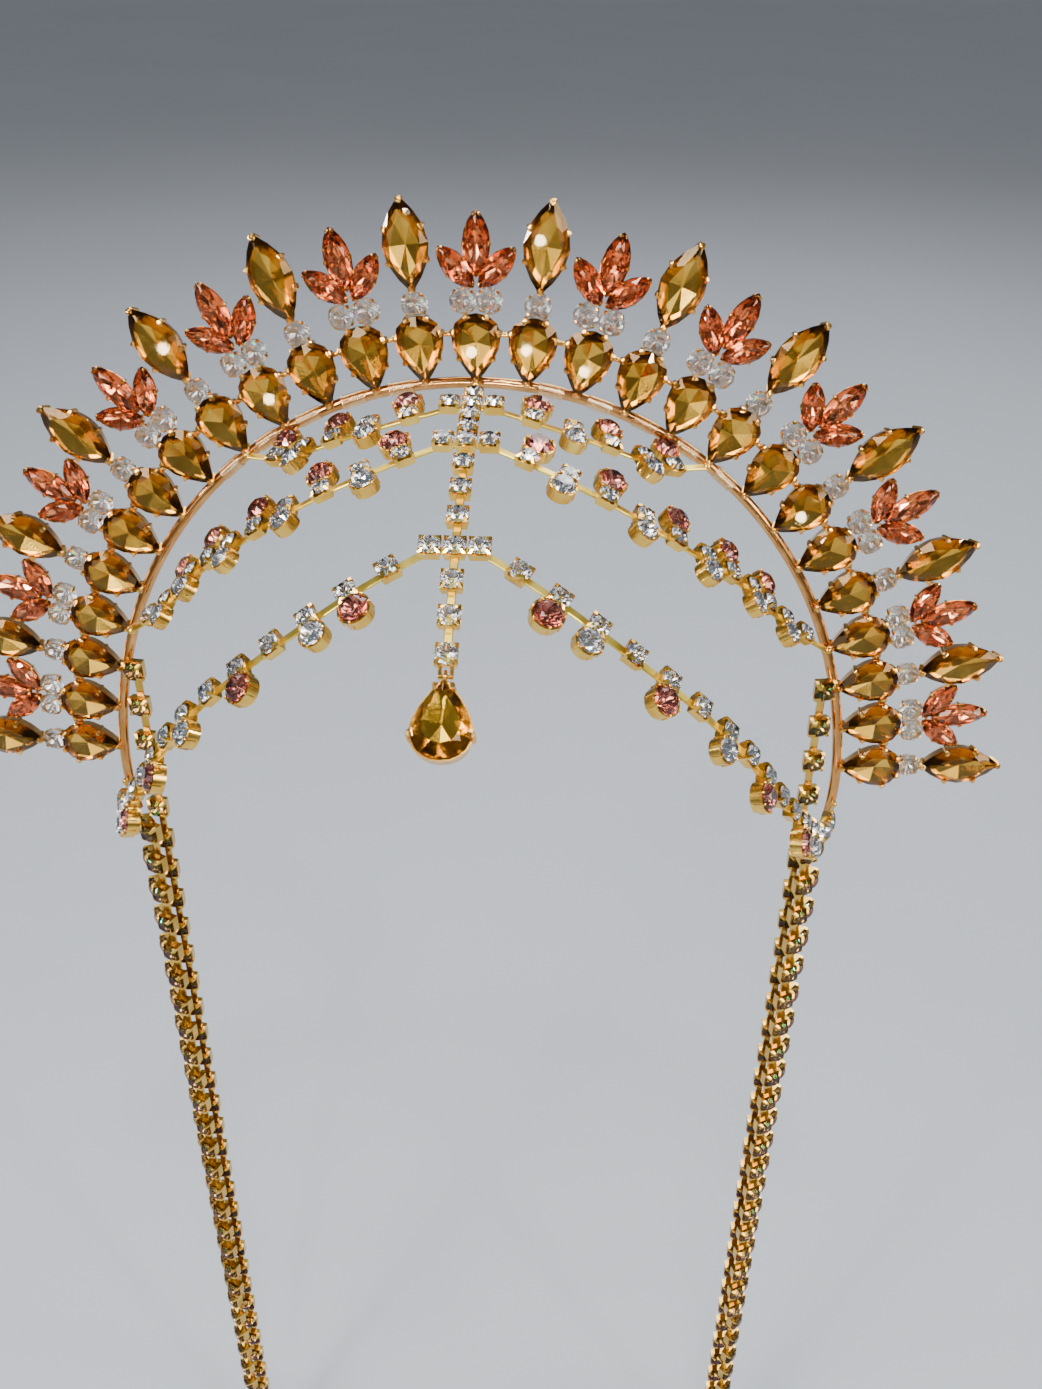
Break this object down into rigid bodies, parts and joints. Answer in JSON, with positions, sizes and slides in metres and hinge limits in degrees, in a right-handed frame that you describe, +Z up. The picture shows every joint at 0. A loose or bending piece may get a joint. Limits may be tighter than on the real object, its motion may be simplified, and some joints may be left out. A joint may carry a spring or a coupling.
{
  "type": "rhinestone crown headpiece",
  "caption": "Gold crown headpiece with amber pear and marquise stones, pink petal flowers, draped rhinestone chains, a forehead pendant and hanging side fringes.",
  "frame": {"origin": "top of the headband wire, in the middle, where it sits on the crown of the head", "axes": "+Z up, -Y to the front of the head, +X to the viewer's right"},
  "size_m": [0.2086, 0.0832, 0.353],
  "materials": {
    "gold_frame": "polished",
    "amber_glass": "polished",
    "cup_chain": "polished",
    "gold_setting": "polished"
  },
  "bodies": {
    "crown": {"crown_frame": "gold_frame", "pear_01": "amber_glass", "pear_02": "amber_glass", "pear_03": "amber_glass", "pear_04": "amber_glass", "pear_05": "amber_glass", "pear_06": "amber_glass", "pear_07": "amber_glass", "pear_08": "amber_glass", "pear_09": "amber_glass", "pear_10": "amber_glass", "pear_11": "amber_glass", "pear_12": "amber_glass", "pear_13": "amber_glass", "pear_14": "amber_glass", "pear_15": "amber_glass", "pear_16": "amber_glass", "pear_17": "amber_glass", "pear_18": "amber_glass", "pear_19": "amber_glass", "pear_20": "amber_glass", "pear_21": "amber_glass", "pear_22": "amber_glass", "pear_23": "amber_glass", "pear_24": "amber_glass", "pear_25": "amber_glass", "pear_26": "amber_glass", "pear_27": "amber_glass", "marquise_01": "amber_glass", "marquise_02": "amber_glass", "marquise_03": "amber_glass", "marquise_04": "amber_glass", "marquise_05": "amber_glass", "marquise_06": "amber_glass", "marquise_07": "amber_glass", "marquise_08": "amber_glass", "marquise_09": "amber_glass", "marquise_10": "amber_glass", "marquise_11": "amber_glass", "marquise_12": "amber_glass", "marquise_13": "amber_glass", "marquise_14": "amber_glass", "centre_chain": "cup_chain", "swag_upper_left": "cup_chain", "swag_upper_right": "cup_chain", "swag_middle_left": "cup_chain", "swag_middle_right": "cup_chain", "swag_lower_left": "cup_chain", "swag_lower_right": "cup_chain", "fringe_left": "cup_chain", "fringe_right": "cup_chain"},
    "pendant": {"pendant_setting": "gold_setting", "pendant_stone": "amber_glass"}
  },
  "joints": [
    {"name": "pendant_swing", "type": "hinge", "parent": "crown", "child": "pendant", "pos_m": [0, -0.06639, -0.01903], "axis": [1, 0, 0], "range_deg": [-50, 80]}
  ]
}
